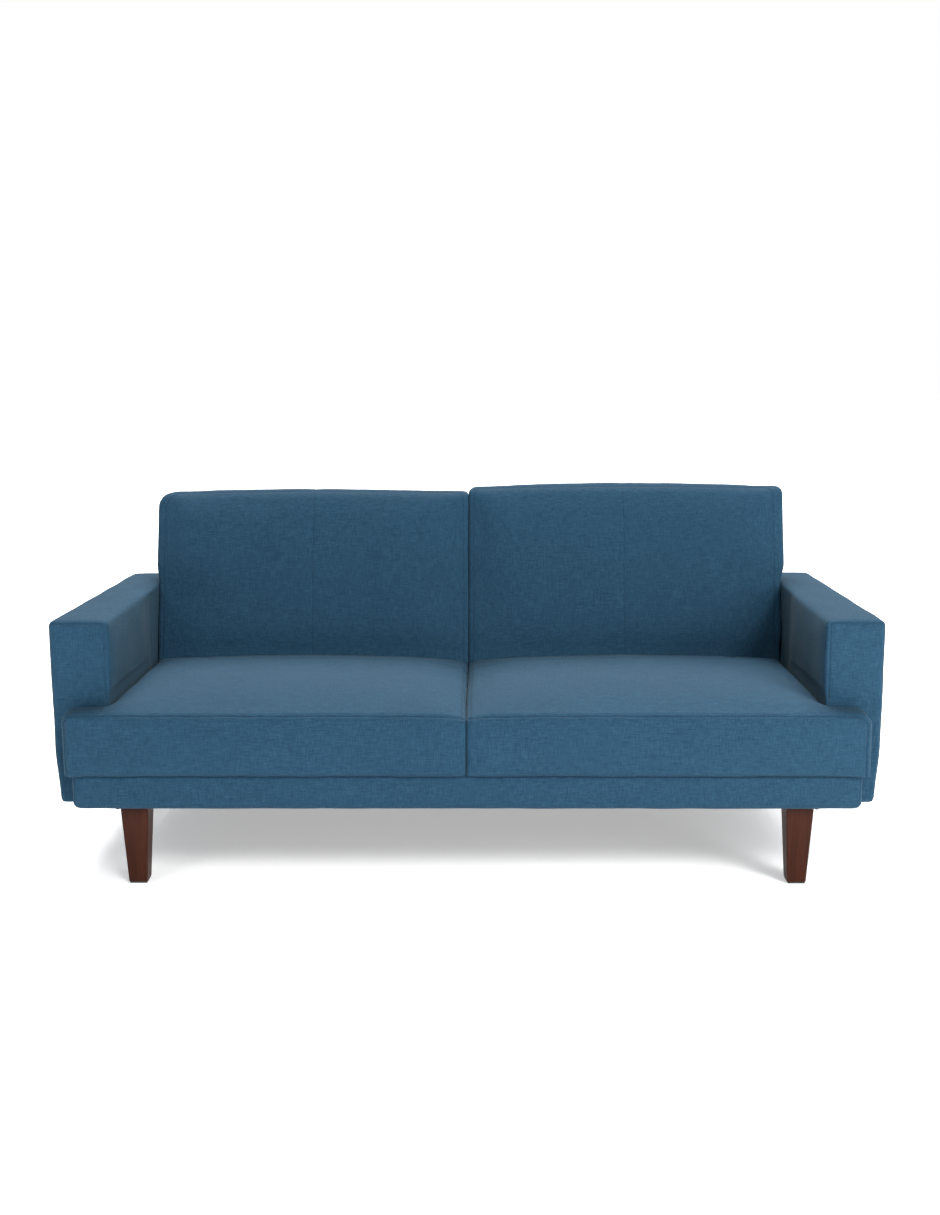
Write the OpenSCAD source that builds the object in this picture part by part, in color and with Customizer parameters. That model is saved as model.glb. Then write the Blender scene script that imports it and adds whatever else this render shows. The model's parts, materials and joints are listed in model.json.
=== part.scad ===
// Split-back futon sofa bed: a timber base on four tapered legs, two fixed seat halves whose
// fronts wrap round the arms, two box arms, and two backs that recline separately on ratchet
// hinges until they lie level with the seat.
// X runs along the sofa, +Y points to the back, +Z is up. The origin is on the floor, under the
// middle of the sofa's box. A "_left" part lies at -X.

/* [Overall] */
// Width over both arms
overall_w = 1850; // [1800:5:1900]
// Depth from the seat front to the rear of the arms
overall_d = 796; // [790:1:800]
// Height of the underside of the base above the floor
base_z = 185; // [175:1:195]
// Height of the base, from its underside to the seat frames
base_h = 74; // [71:1:75]

/* [Arms] */
// Thickness of an arm
arm_w = 130; // [126:1:132]
// Height of the arm top above the floor
arm_top_z = 600; // [580:1:620]
// Radius of the arm's long top edges
arm_edge_r = 14; // [8:1:20]
// Thickness of the padding round an arm frame
arm_pad = 15; // [13:1:15]

/* [Seat] */
// How far the seat front stands in front of the arms
seat_overhang = 70; // [69:1:72]
// Height of the seam along the seat front
seat_seam_z = 402; // [396:1:408]
// Rise of the seat's middle above that seam
seat_crown = 23; // [15:1:25]
// Half width over the wings that wrap in front of the arms
wing_x = 886; // [882:1:890]
// Height of a wing's top above the floor
wing_z = 408; // [404:1:412]

/* [Backs] */
// Thickness of a back
back_t = 130; // [128:1:132]
// Length of a back above its pivot
back_l = 502; // [496:1:504]
// Lean of the backs when the sofa is a seat
back_lean = 16; // [15:1:17]
// Radius of a back's long top edges
back_edge_r = 30; // [20:1:36]
// Distance of the pivot behind the arm fronts
pivot_back = 530; // [526:1:532]
// Height of the pivot above the floor
pivot_z = 355; // [353:1:356]

/* [Legs] */
// Distance of a leg's middle from the sofa's middle
leg_x = 742; // [738:1:744]
// Width of a leg at the top
leg_top_w = 62; // [54:1:62]
// Width of a leg at the floor
leg_foot_w = 42; // [32:1:44]
// Thickness of the plastic glide under a leg
glide_h = 4; // [3:1:5]

/* [Hardware] */
// Diameter of a back's pivot pin
pin_d = 12; // [10:1:14]
// Thickness of the hinge plates
plate_t = 4; // [4:0.5:4]
// Diameter of the sinuous seat spring wire
wire_d = 4; // [3.4:0.2:4]
// Number of sinuous springs under each seat half
springs = 4; // [3:1:4]

/* [Hidden] */

$fn = 48;
EPS = 0.01;
FIT = 0.05;                 // radial clearance of a pin that turns in its hole
SLACK = 0.2;                // radial clearance of a bolt in its hole

blue = "steelblue";
wood = "burlywood";
dark_wood = "#4a2a20";
steel = "silver";
black = "#202022";

// Main planes
front_y = -overall_d / 2;
arm_front_y = front_y + seat_overhang;
arm_back_y = overall_d / 2;
arm_in_x = overall_w / 2 - arm_w;
base_top = base_z + base_h;

// Base frame
apron_front_y = front_y + 14;
apron_x = overall_w / 2 - 54;
apron_wall = 12;
apron_back_y = arm_front_y - 0.5;
apron_lip_y = arm_front_y - 12;
fold = 4;                   // thickness of upholstery folded over a rail's top or bottom
rail_t = 26;                // thickness of the front rail
side_rail_t = 36;
rail_out_x = arm_in_x - 7;
rear_rail_y = arm_back_y - 62;
rear_rail_t = 36;
rear_apron_t = 8;
beam_half = 45;
block = [61, 80, base_h - 2 * fold];
block_rear_y = 60;
cross_y = [arm_front_y + 420, arm_front_y + 478];
deck_t = 4;
deck_x = [62, rail_out_x - 55];
sheet = 1.5;                // thickness of the dust cover

// Legs
leg_front_y = arm_front_y + 2;
leg_back_y = arm_back_y - 76;
leg_plate = [82, 82, 3];
leg_top_z = base_z - leg_plate[2];
leg_bolt_r = 4;
leg_bolt_low = leg_top_z - 45;
leg_bolt_high = base_z + 40;
screw_r = 2.2;
screw_l = 22;
screw_pitch = 70;           // the four screws of a leg plate sit on this square
head_t = 2.5;

// Seat halves
seat_gap = 2;               // half the gap between the two seat halves
seat_out_x = arm_in_x - 2;
seat_bottom = base_top + 2;
wing_back_y = arm_front_y - 1.5;
skirt = 12;                 // padding round the seat frame
frame_h = 40;
frame_w = 40;
frame_x0 = 16;
frame_x1 = seat_out_x - skirt - 2;
frame_front_y = front_y + 16;
frame_wing_x = wing_x - skirt - 2;
frame_back_y = arm_front_y + 448;
pocket_top = base_top + frame_h + 14;
frame_mid_x = (frame_x0 + frame_x1) / 2;
seat_bolt_x = [35, rail_out_x - 20.5];
seat_bolt_y = [arm_front_y + 30, arm_front_y + 340];
seat_bolt_r = 3;

// Sinuous springs
turns = 11;
spring_y0 = frame_front_y + frame_w / 2;
spring_y1 = frame_back_y - frame_w / 2;
spring_r = (spring_y1 - spring_y0) / turns / 2;
spring_half = 16;           // half the length of a spring's straight cross wires
spring_z = base_top + frame_h + 5;

// Backs: in a back's own frame, y is the depth behind the pivot line and z the height along it
pivot_y = arm_front_y + pivot_back;
half_t = back_t / 2;
back_gap = 3.5;             // gap at each side of a back
back_x0 = back_gap;
back_x1 = arm_in_x - back_gap;
seat_clear = 1.5;           // gap between a seat and the back that turns behind it
notch_w = 32;               // width of the cut-outs for the hinges, at a back's lower corners
notch_z = 34;
back_pocket_y = 14;
back_pocket_z = [notch_z, back_l - back_edge_r - 6];
side_wall = 14;
back_frame_y = [18, 58];
back_frame_z = [42, back_pocket_z[1] - 4];
back_frame_x = [back_x0 + 22.5, back_x1 - 22.5];
back_rail_w = 40;
panel_t = 3.5;
webs = 5;
web_w = 50;
web_t = 1.8;

// Hinges: each sits at the side of a back, its moving plate against the back frame
pin_r = pin_d / 2;
arm_plate_r = 27;
arm_plate_tip = [38, 190];
arm_bolt_z = [95, 165];
arm_bolt_y = 38;
arm_bolt_r = 4;
washer_t = 1;
base_plate_w = 64;
base_plate_r = 22;
pawl_angle = 232;           // where the pawl touches the ratchet, seen from the -X side
pawl_pin_y = -8;
pawl_pin_z = -52;
pawl_pin_r = 4;
pawl_tail = [pawl_pin_y + 28, pawl_pin_z - 12];
tooth_r = 3;
teeth = [0, 37, 74];        // the lean positions the ratchet holds, in degrees from upright rest
foot_l = 32;
foot_screw_y = [-20, 20];

// Arms
arm_out_x = overall_w / 2;
arm_frame_x = [arm_in_x + arm_pad + 2, arm_out_x - arm_pad - 2];
arm_frame_y = [arm_front_y + arm_pad + 2, arm_back_y - arm_pad - 2];
arm_frame_z = [base_z + 2, arm_top_z - arm_pad - 2];
arm_timber = 40;
arm_bolt_at_y = [-190, 60, 240];
arm_bolt_at_z = base_z + 22;
arm_bolt_shank_r = 4;
nut_r = 6;
nut_l = 18;
arm_washer_r = 10;
arm_washer_t = 1.5;
arm_bolt_end_x = arm_in_x + 50;

// ---------------------------------------------------------------- helpers

// Extrudes a [Y, Z] outline along X from x0 to x1
module along_x(x0, x1) {
    translate([x0, 0, 0]) rotate([90, 0, 90]) linear_extrude(x1 - x0) children();
}

// A box between two corners
module box(low, high) {
    translate(low) cube(high - low);
}

// A rod along X
module rod_x(x0, x1, r, y = 0, z = 0) {
    translate([x0, y, z]) rotate([0, 90, 0]) cylinder(h = x1 - x0, r = r);
}

// An upright rod
module rod_z(x, y, z0, z1, r) {
    translate([x, y, z0]) cylinder(h = z1 - z0, r = r);
}

// Copies its children to both sides of the sofa
module both_sides() {
    children();
    mirror([1, 0, 0]) children();
}

// Puts a right-hand part on the left (side = -1) or leaves it (side = 1)
module on_side(side) {
    if (side < 0) mirror([1, 0, 0]) children();
    else children();
}

// Places a part drawn in the right back's own frame
module in_back() {
    translate([0, pivot_y, pivot_z]) rotate([-back_lean, 0, 0]) children();
}

// Draws a hinge part at the outer and, mirrored, at the inner side of the right back.
// It is drawn for the outer side: x = 0 is the back's outer edge and -x points into the back.
module at_hinges() {
    translate([back_x1, 0, 0]) children();
    translate([back_x0, 0, 0]) mirror([1, 0, 0]) children();
}

function arc(cx, cy, rx, ry, a0, a1, n) =
    [for (i = [0:n]) let (a = a0 + (a1 - a0) * i / n) [cx + rx * cos(a), cy + ry * sin(a)]];

// Hinge plates' depth from the back's outer edge
arm_plate_x = [-22.5, -22.5 + plate_t];
base_plate_x = [arm_plate_x[1] + washer_t, arm_plate_x[1] + washer_t + plate_t];
pin_x = [arm_plate_x[0] - 6, base_plate_x[1] + 3];
clip_x = [arm_plate_x[0] - 4, arm_plate_x[0] - 1];

// ---------------------------------------------------------------- base frame

module front_rail() {
    y = apron_front_y + apron_wall + 1;
    end_x = apron_x - apron_wall - 1;
    color(wood) difference() {
        box([-end_x, y, base_z + fold], [end_x, y + rail_t, base_top - fold]);
        leg_screw_holes();
    }
}

module rear_rail() {
    color(wood) difference() {
        box([-rail_out_x, rear_rail_y, base_z],
            [rail_out_x, rear_rail_y + rear_rail_t, base_top]);
        leg_screw_holes();
    }
}

module side_rail() {
    color(wood) difference() {
        box([rail_out_x - side_rail_t, apron_back_y, base_z], [rail_out_x, rear_rail_y, base_top]);
        for (y = seat_bolt_y) rod_z(seat_bolt_x[1], y, base_z + 20, base_top + 1,
                                    seat_bolt_r + SLACK);
        for (y = arm_bolt_at_y) rod_x(rail_out_x - side_rail_t - 1, rail_out_x + 1,
                                      arm_bolt_shank_r + SLACK, y, arm_bolt_at_z);
        for (y = foot_screw_y) rod_z(back_x1 + base_plate_x[1] - foot_l / 2, pivot_y + y,
                                     base_top - screw_l, base_top + 1, screw_r + SLACK);
        leg_screw_holes();
    }
}

module centre_beam() {
    color(wood) difference() {
        box([-beam_half, apron_back_y, base_z], [beam_half, rear_rail_y, base_top]);
        both_sides() {
            for (y = seat_bolt_y) rod_z(seat_bolt_x[0], y, base_z + 20, base_top + 1,
                                        seat_bolt_r + SLACK);
            for (y = foot_screw_y) rod_z(back_x0 - base_plate_x[1] + foot_l / 2, pivot_y + y,
                                         base_top - screw_l, base_top + 1, screw_r + SLACK);
        }
    }
}

// Rails under the rear of the seat frames, from the centre beam to the side rails
module cross_rails() {
    color(wood) both_sides() box([beam_half, cross_y[0], base_z],
                                 [rail_out_x - side_rail_t, cross_y[1], base_top]);
}

// Boards that close the top of the base behind the seats
module rear_decks() {
    color(wood) both_sides() box([deck_x[0], cross_y[1] - 8, base_top],
                                 [deck_x[1], rear_rail_y + rear_rail_t, base_top + deck_t]);
}

// Blocks behind the rails' corners that the legs screw into
module corner_blocks() {
    front_low = [rail_out_x - side_rail_t - block[0], apron_front_y + apron_wall + 1 + rail_t,
                 base_z + fold];
    rear_low = [front_low[0], rear_rail_y - block_rear_y, base_z];
    color(wood) both_sides() difference() {
        union() {
            box(front_low, front_low + block);
            box(rear_low, [front_low[0] + block[0], rear_rail_y, base_z + fold + block[2]]);
        }
        for (y = [leg_front_y, leg_back_y]) {
            rod_z(leg_x, y, base_z - 1, leg_bolt_high + 1, leg_bolt_r + SLACK);
        }
        leg_screw_holes();
    }
}

// Padded cover over the front rail: open at the back, folded over the rail's top and bottom
module front_apron() {
    color(blue) difference() {
        along_x(-apron_x, apron_x) polygon(concat(
            [[apron_back_y, base_z], [apron_back_y, base_top]],
            arc(apron_front_y + 5, base_top - 5, 5, 5, 90, 180, 6),
            arc(apron_front_y + 14, base_z + 14, 14, 14, 180, 270, 8)));
        box([-apron_x + apron_wall, apron_front_y + apron_wall, base_z + fold],
            [apron_x - apron_wall, apron_back_y + 1, base_top - fold + EPS]);
        box([-apron_x + apron_wall, apron_lip_y, base_z - 1],
            [apron_x - apron_wall, apron_back_y + 1, base_top + 1]);
        leg_screw_holes();
    }
}

// Fabric and thin padding over the rear rail
module rear_apron() {
    color(blue) box([-rail_out_x, rear_rail_y + rear_rail_t, base_z],
                    [rail_out_x, rear_rail_y + rear_rail_t + rear_apron_t, base_top]);
}

// Black cloth under the base, cut out round the leg plates
module dust_cover() {
    color(black) difference() {
        box([-rail_out_x, apron_lip_y + 1, base_z - sheet], [rail_out_x,
             rear_rail_y + rear_rail_t, base_z]);
        both_sides() for (y = [leg_front_y, leg_back_y]) {
            box([leg_x - leg_plate[0] / 2 - 1, y - leg_plate[1] / 2 - 1, base_z - sheet - 1],
                [leg_x + leg_plate[0] / 2 + 1, y + leg_plate[1] / 2 + 1, base_z + 1]);
        }
    }
}

// ---------------------------------------------------------------- legs

// A square leg tapering evenly to the floor
module leg(side, y) {
    h = leg_top_z - glide_h;
    color(dark_wood) difference() {
        translate([side * leg_x, y, glide_h]) hull() {
            translate([0, 0, EPS / 2]) cube([leg_foot_w, leg_foot_w, EPS], center = true);
            translate([0, 0, h - EPS / 2]) cube([leg_top_w, leg_top_w, EPS], center = true);
        }
        rod_z(side * leg_x, y, leg_bolt_low - 1, leg_top_z + 1, leg_bolt_r + SLACK);
    }
}

// The four screws of each right-hand leg plate
module leg_screw_rods(z0, z1, r) {
    for (y = [leg_front_y, leg_back_y], i = [-1, 1], j = [-1, 1]) {
        rod_z(leg_x + i * screw_pitch / 2, y + j * screw_pitch / 2, z0, z1, r);
    }
}

module leg_screw_holes() {
    both_sides() leg_screw_rods(leg_top_z - 1, base_z + screw_l, screw_r + SLACK);
}

module leg_plates() {
    color(steel) both_sides() difference() {
        for (y = [leg_front_y, leg_back_y]) {
            translate([leg_x - leg_plate[0] / 2, y - leg_plate[1] / 2, leg_top_z])
                cube(leg_plate);
        }
        for (y = [leg_front_y, leg_back_y]) {
            rod_z(leg_x, y, leg_top_z - 1, base_z + 1, leg_bolt_r + SLACK);
        }
        leg_screw_holes();
    }
}

module leg_plate_screws() {
    color(steel) both_sides() {
        leg_screw_rods(leg_top_z - EPS, base_z + screw_l - 2, screw_r);
        leg_screw_rods(leg_top_z - head_t, leg_top_z, screw_r * 2);
    }
}

module leg_bolts() {
    color(steel) both_sides() for (y = [leg_front_y, leg_back_y]) {
        rod_z(leg_x, y, leg_bolt_low, leg_bolt_high, leg_bolt_r);
    }
}

module leg_glides() {
    color(black) both_sides() for (y = [leg_front_y, leg_back_y]) {
        w = leg_foot_w - 4;
        box([leg_x - w / 2, y - w / 2, 0], [leg_x + w / 2, y + w / 2, glide_h]);
    }
}

// ---------------------------------------------------------------- seat halves

// Timber frame with a front member that reaches into the wing
module seat_frame() {
    z = [base_top, base_top + frame_h];
    color(wood) difference() {
        union() {
            box([frame_x0, frame_front_y, z[0]], [frame_wing_x, frame_front_y + frame_w, z[1]]);
            box([frame_x0, frame_back_y - frame_w, z[0]], [frame_x1, frame_back_y, z[1]]);
            for (x = [frame_x0, frame_mid_x - frame_w / 2, frame_x1 - frame_w]) {
                box([x, frame_front_y + frame_w, z[0]],
                    [x + frame_w, frame_back_y - frame_w, z[1]]);
            }
        }
        for (x = seat_bolt_x, y = seat_bolt_y) rod_z(x, y, z[0] - 1, z[1] + 1,
                                                     seat_bolt_r + SLACK);
    }
}

// X positions of the sinuous springs, clear of the frame's middle member
function spring_xs() = [for (i = [0:springs - 1])
    let (f = (i + 0.5) / springs) frame_x0 + frame_w + f * (frame_x1 - frame_x0 - 2 * frame_w)];

// One wire: straight cross wires joined by half turns
module sinuous_wire(x) {
    pitch = 2 * spring_r;
    r = wire_d / 2;
    translate([x, spring_y0, spring_z]) {
        for (i = [0:turns]) translate([0, i * pitch, 0])
            rod_x(-spring_half, spring_half, r);
        for (i = [0:turns - 1]) {
            s = i % 2 == 0 ? 1 : -1;
            translate([s * spring_half, (i + 0.5) * pitch, 0]) rotate([0, 0, s > 0 ? -90 : 90])
                rotate_extrude(angle = 180) translate([spring_r, 0]) circle(r = r, $fn = 24);
        }
    }
}

module seat_springs() {
    color(steel) for (x = spring_xs()) sinuous_wire(x);
}

// Folded clips that hold each wire's ends on the frame
module spring_clips() {
    tunnel = wire_d + 1;
    color(steel) both_sides() for (x = spring_xs(), y = [spring_y0, spring_y1]) difference() {
        box([x - 9, y - 7, base_top + frame_h], [x + 9, y + 7, spring_z + 4.5]);
        box([x - 10, y - tunnel / 2, spring_z - tunnel / 2],
            [x + 10, y + tunnel / 2, spring_z + tunnel / 2]);
    }
}

module seat_frame_bolts() {
    color(steel) both_sides() for (x = seat_bolt_x, y = seat_bolt_y) {
        rod_z(x, y, base_z + 22, base_top + frame_h + EPS, seat_bolt_r);
        rod_z(x, y, base_top + frame_h, base_top + frame_h + 4, seat_bolt_r * 1.8);
    }
}

// Side outline of a seat half: crowned top, and a rear that follows the reclining back
function seat_outline() =
    let (r = half_t + seat_clear,
         top = seat_seam_z + seat_crown,
         rise = (top - pivot_z - r * sin(back_lean)) / cos(back_lean))
    concat(
        [[front_y, seat_bottom]],
        arc(front_y + 110, seat_seam_z, 110, seat_crown, 180, 90, 8),
        [[pivot_y - r * cos(back_lean) + rise * sin(back_lean), top]],
        arc(pivot_y, pivot_z, r, r, 180 - back_lean, 180, 4),
        [[pivot_y - r, seat_bottom]]);

// Side outline of the wing in front of an arm
function wing_outline() = concat(
    [[wing_back_y, seat_bottom], [wing_back_y, wing_z]],
    arc(front_y + 24, wing_z - 14, 24, 14, 90, 180, 6),
    [[front_y, seat_bottom]]);

// Foam and cover of a seat half, hollowed underneath for its frame and springs
module seat_cushion() {
    color(blue) difference() {
        union() {
            along_x(seat_gap, seat_out_x) polygon(seat_outline());
            along_x(seat_out_x - EPS, wing_x) polygon(wing_outline());
        }
        box([frame_x0 - 2, frame_front_y - 2, seat_bottom - 1],
            [frame_x1 + 2, frame_back_y + 2, pocket_top]);
        box([frame_x1 + 1, frame_front_y - 2, seat_bottom - 1],
            [frame_wing_x + 2, frame_front_y + frame_w + 2, base_top + frame_h + 2]);
    }
}

// ---------------------------------------------------------------- arms

module arm_frame() {
    x = arm_frame_x;
    y = arm_frame_y;
    z = arm_frame_z;
    mid_y = (y[0] + y[1] - arm_timber) / 2;
    color(wood) difference() {
        union() {
            box([x[0], y[0], z[0]], [x[1], y[1], z[0] + arm_timber]);
            box([x[0], y[0], z[1] - arm_timber], [x[1], y[1], z[1]]);
            for (y0 = [y[0], mid_y, y[1] - arm_timber]) {
                box([x[0], y0, z[0]], [x[1], y0 + arm_timber, z[1]]);
            }
        }
        for (by = arm_bolt_at_y) {
            rod_x(x[0] - 1, arm_bolt_end_x + 4, arm_bolt_shank_r + SLACK, by, arm_bolt_at_z);
            rod_x(x[0] - 1, x[0] + nut_l, nut_r, by, arm_bolt_at_z);
        }
    }
}

// Padded cover of an arm, open underneath, where its frame goes in
module arm_cover() {
    z = [base_z, arm_top_z];
    r = arm_edge_r;
    color(blue) difference() {
        translate([0, arm_back_y, 0]) rotate([90, 0, 0]) linear_extrude(arm_back_y - arm_front_y)
            polygon(concat([[arm_out_x, z[0]]],
                           arc(arm_out_x - r, z[1] - r, r, r, 0, 90, 6),
                           arc(arm_in_x + r, z[1] - r, r, r, 90, 180, 6),
                           [[arm_in_x, z[0]]]));
        box([arm_in_x + arm_pad, arm_front_y + arm_pad, z[0] - 1],
            [arm_out_x - arm_pad, arm_back_y - arm_pad, z[1] - arm_pad]);
        for (y = arm_bolt_at_y) rod_x(arm_in_x - 1, arm_in_x + arm_pad + 1,
                                      arm_bolt_shank_r + SLACK, y, arm_bolt_at_z);
    }
}

module arm_bolts() {
    head_x = rail_out_x - side_rail_t - arm_washer_t;
    color(steel) both_sides() for (y = arm_bolt_at_y) {
        rod_x(head_x - EPS, arm_bolt_end_x, arm_bolt_shank_r, y, arm_bolt_at_z);
        rod_x(head_x - 5, head_x, 7, y, arm_bolt_at_z);
    }
}

module arm_bolt_washers() {
    x = rail_out_x - side_rail_t;
    color(steel) both_sides() for (y = arm_bolt_at_y) difference() {
        rod_x(x - arm_washer_t, x, arm_washer_r, y, arm_bolt_at_z);
        rod_x(x - arm_washer_t - 1, x + 1, arm_bolt_shank_r + SLACK, y, arm_bolt_at_z);
    }
}

module arm_insert_nuts() {
    x = arm_frame_x[0];
    color(steel) both_sides() for (y = arm_bolt_at_y) difference() {
        rod_x(x, x + nut_l, nut_r, y, arm_bolt_at_z);
        rod_x(x - 1, x + nut_l + 1, arm_bolt_shank_r + FIT, y, arm_bolt_at_z);
    }
}

// ---------------------------------------------------------------- hinges, fixed side

// Places a part at both hinges of both backs, upright over the pivot line
module at_all_hinges() {
    both_sides() translate([0, pivot_y, pivot_z]) at_hinges() children();
}

// An upright plate on a screwed foot
module hinge_base_plates() {
    foot_z = base_top - pivot_z;
    x = base_plate_x;
    color(black) at_all_hinges() difference() {
        union() {
            along_x(x[0], x[1]) {
                circle(r = base_plate_r);
                polygon([[-base_plate_w / 2, foot_z], [base_plate_w / 2, foot_z],
                         [base_plate_r, 0], [-base_plate_r, 0]]);
            }
            box([x[1] - foot_l, -base_plate_w / 2, foot_z],
                [x[1], base_plate_w / 2, foot_z + plate_t]);
        }
        rod_x(x[0] - 1, x[1] + 1, pin_r + FIT);
        rod_x(x[0] - 1, x[1] + 1, pawl_pin_r + FIT, pawl_pin_y, pawl_pin_z);
        for (y = foot_screw_y) rod_z(x[1] - foot_l / 2, y, foot_z - 1, foot_z + plate_t + 1,
                                     screw_r + SLACK);
    }
}

module hinge_plate_screws() {
    foot_z = base_top - pivot_z;
    color(steel) at_all_hinges() for (y = foot_screw_y) {
        x = base_plate_x[1] - foot_l / 2;
        rod_z(x, y, foot_z - screw_l + 2, foot_z + plate_t + EPS, screw_r);
        rod_z(x, y, foot_z + plate_t, foot_z + plate_t + head_t, screw_r * 2);
    }
}

module hinge_pivot_pins() {
    color(steel) at_all_hinges() {
        rod_x(pin_x[0], pin_x[1] - 2.9, pin_r);
        rod_x(pin_x[1] - 3, pin_x[1], pin_r + 3);
    }
}

module hinge_pin_clips() {
    color(steel) at_all_hinges() difference() {
        rod_x(clip_x[0], clip_x[1], pin_r + 4);
        rod_x(clip_x[0] - 1, clip_x[1] + 1, pin_r + FIT);
    }
}

// Levers that drop into the ratchet's notches
module hinge_pawls() {
    tip = [(arm_plate_r + 5) * cos(pawl_angle), (arm_plate_r + 5) * sin(pawl_angle)];
    color(black) at_all_hinges() difference() {
        along_x(arm_plate_x[0], arm_plate_x[1]) union() {
            translate([pawl_pin_y, pawl_pin_z]) circle(r = 8);
            translate(tip) circle(r = 2.5);
            translate(pawl_tail) circle(r = 4);
            polygon([tip + [-2, 1], tip + [2, -1], [pawl_pin_y + 6, pawl_pin_z],
                     [pawl_pin_y - 6, pawl_pin_z]]);
            polygon([[pawl_pin_y, pawl_pin_z + 6], [pawl_pin_y, pawl_pin_z - 6],
                     pawl_tail - [0, 4], pawl_tail + [0, 4]]);
        }
        rod_x(arm_plate_x[0] - 1, arm_plate_x[1] + 1, pawl_pin_r + FIT, pawl_pin_y, pawl_pin_z);
    }
}

module pawl_pins() {
    color(steel) at_all_hinges()
        rod_x(arm_plate_x[0] - 2, base_plate_x[1] + 1, pawl_pin_r, pawl_pin_y, pawl_pin_z);
}

// Close-wound springs that pull the pawls' tails down
module pawl_springs() {
    coils = 9;
    coil_d = 2;
    r = 3;
    x = arm_plate_x[0] - 4.5;
    z0 = pawl_tail[1] - coils * coil_d / 2;
    color(steel) at_all_hinges() translate([x, pawl_tail[0], z0])
        rotate_extrude($fn = 24) polygon(concat(
            [[0, 0]],
            [for (i = [0:coils - 1], a = [-60, 0, 60])
                [r + coil_d / 2 * (cos(a) - 0.5), coil_d * (i + 0.5) + coil_d / 2 * sin(a)]],
            [[0, coils * coil_d]]));
}

// ---------------------------------------------------------------- backs

// Side outline of a back: a half-round foot about the pivot and rounded top edges
function back_outline() =
    let (r = back_edge_r)
    concat(
        arc(0, 0, half_t, half_t, 180, 360, 24),
        arc(half_t - r, back_l - r, r, r, 0, 90, 8),
        arc(-half_t + r, back_l - r, r, r, 90, 180, 8));

// Foam and cover of a back, with a pocket for its frame behind and notches for the hinges
module back_cushion() {
    wall_x = [back_x0 + side_wall, back_x1 - side_wall];
    color(blue) in_back() difference() {
        along_x(back_x0, back_x1) polygon(back_outline());
        box([wall_x[0], back_pocket_y, back_pocket_z[0]],
            [wall_x[1], half_t + 1, back_pocket_z[1]]);
        at_hinges() {
            box([-notch_w, -half_t - 1, -half_t - 1], [1, half_t + 1, notch_z]);
            box([arm_plate_x[0] - 0.5, -arm_plate_r - 1, notch_z - 1],
                [-side_wall, back_pocket_y + 1, 150]);
        }
    }
}

module back_frame() {
    x = back_frame_x;
    y = back_frame_y;
    z = back_frame_z;
    w = back_rail_w;
    color(wood) in_back() difference() {
        union() {
            for (z0 = [z[0], z[1] - w]) box([x[0], y[0], z0], [x[1], y[1], z0 + w]);
            for (x0 = [x[0], (x[0] + x[1] - w) / 2, x[1] - w]) {
                box([x0, y[0], z[0] + w], [x0 + w, y[1], z[1] - w]);
            }
        }
        at_hinges() for (bz = arm_bolt_z)
            rod_x(arm_plate_x[0] - 34, arm_plate_x[0] + 1, arm_bolt_r + SLACK, arm_bolt_y, bz);
    }
}

// Elastic straps stretched across the frame, and uprights in front of them
module back_webbing() {
    x = back_frame_x;
    z = back_frame_z;
    color(black) in_back() {
        for (i = [0:webs - 1]) {
            z0 = z[0] + 24 + i * (z[1] - z[0] - web_w - 48) / (webs - 1);
            box([x[0] + 8, back_frame_y[0] - web_t, z0],
                [x[1] - 8, back_frame_y[0], z0 + web_w]);
        }
        for (f = [0.2, 0.4, 0.6, 0.8]) {
            x0 = x[0] + f * (x[1] - x[0]) - web_w / 2;
            box([x0, back_frame_y[0] - 2 * web_t, z[0] + 8],
                [x0 + web_w, back_frame_y[0] - web_t, z[1] - 8]);
        }
    }
}

// Board and fabric that close the pocket behind
module back_panel() {
    color(blue) in_back() box([back_x0 + side_wall + 1, half_t - panel_t, back_pocket_z[0] + 1],
                              [back_x1 - side_wall - 1, half_t, back_pocket_z[1] - 1]);
}

// Moving hinge plates, with a ratchet notch for each position the back locks in
module hinge_arms() {
    x = arm_plate_x;
    color(steel) in_back() at_hinges() difference() {
        along_x(x[0], x[1]) difference() {
            union() {
                circle(r = arm_plate_r);
                polygon([[-arm_plate_r, 0], [arm_plate_r, 0], [arm_plate_tip[0] + 16, 70],
                         [arm_plate_tip[0] + 16, arm_plate_tip[1]],
                         [arm_plate_tip[0] - 16, arm_plate_tip[1]],
                         [arm_plate_tip[0] - 16, 110], [-arm_plate_r + 4, 34]]);
            }
            for (a = teeth) rotate(pawl_angle + back_lean + a) translate([arm_plate_r, 0])
                circle(r = tooth_r, $fn = 24);
        }
        rod_x(x[0] - 1, x[1] + 1, pin_r + FIT);
        for (z = arm_bolt_z) rod_x(x[0] - 1, x[1] + 1, arm_bolt_r + SLACK, arm_bolt_y, z);
    }
}

module hinge_arm_bolts() {
    x = arm_plate_x;
    color(steel) in_back() at_hinges() for (z = arm_bolt_z) {
        rod_x(x[0] - 32, x[1] + EPS, arm_bolt_r, arm_bolt_y, z);
        rod_x(x[1], x[1] + 3.5, arm_bolt_r * 1.7, arm_bolt_y, z);
    }
}

// Thin washers between the moving and the fixed plates
module hinge_washers() {
    x = arm_plate_x[1];
    color(steel) in_back() at_hinges() difference() {
        rod_x(x, x + washer_t - 0.1, pin_r + 6);
        rod_x(x - 1, x + washer_t + 1, pin_r + FIT);
    }
}

// ---------------------------------------------------------------- what is drawn

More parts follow.
